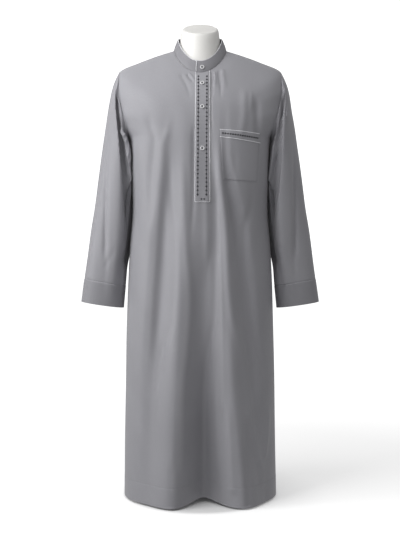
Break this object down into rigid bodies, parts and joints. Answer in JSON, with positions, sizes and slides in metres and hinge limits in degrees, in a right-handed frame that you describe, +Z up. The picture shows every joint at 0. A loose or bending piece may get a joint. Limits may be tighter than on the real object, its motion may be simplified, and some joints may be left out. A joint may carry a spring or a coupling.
{
  "type": "thobe robe on a limbless dress form",
  "caption": "Ankle-length long-sleeved grey robe with a band collar, piped button placket and chest pocket, filled out on a white limbless dress form with a stand.",
  "frame": {"origin": "on the floor, at the underside of the stand's base plate, on the pole's axis", "axes": "+Z up, the robe's front faces -Y, the wearer's left is +X"},
  "size_m": [0.7254, 0.4031, 1.4392],
  "materials": {
    "cloth": "satin",
    "piping": "satin",
    "button": "gloss",
    "form": "satin",
    "steel": "satin"
  },
  "bodies": {
    "root": {"front_panel": "cloth", "back_panel": "cloth", "sleeve_left": "cloth", "sleeve_right": "cloth", "collar_band": "cloth", "placket": "cloth", "pocket_patch": "cloth", "pocket_band": "cloth", "collar_piping": "piping", "collar_end_piping": "piping", "placket_piping": "piping", "pocket_piping_top": "piping", "pocket_piping_low": "piping", "button_collar": "button", "button_1": "button", "button_2": "button", "button_3": "button", "form_torso": "form", "stand_base": "steel", "stand_pole": "steel", "stand_flange": "steel", "stand_socket": "steel"}
  },
  "joints": []
}
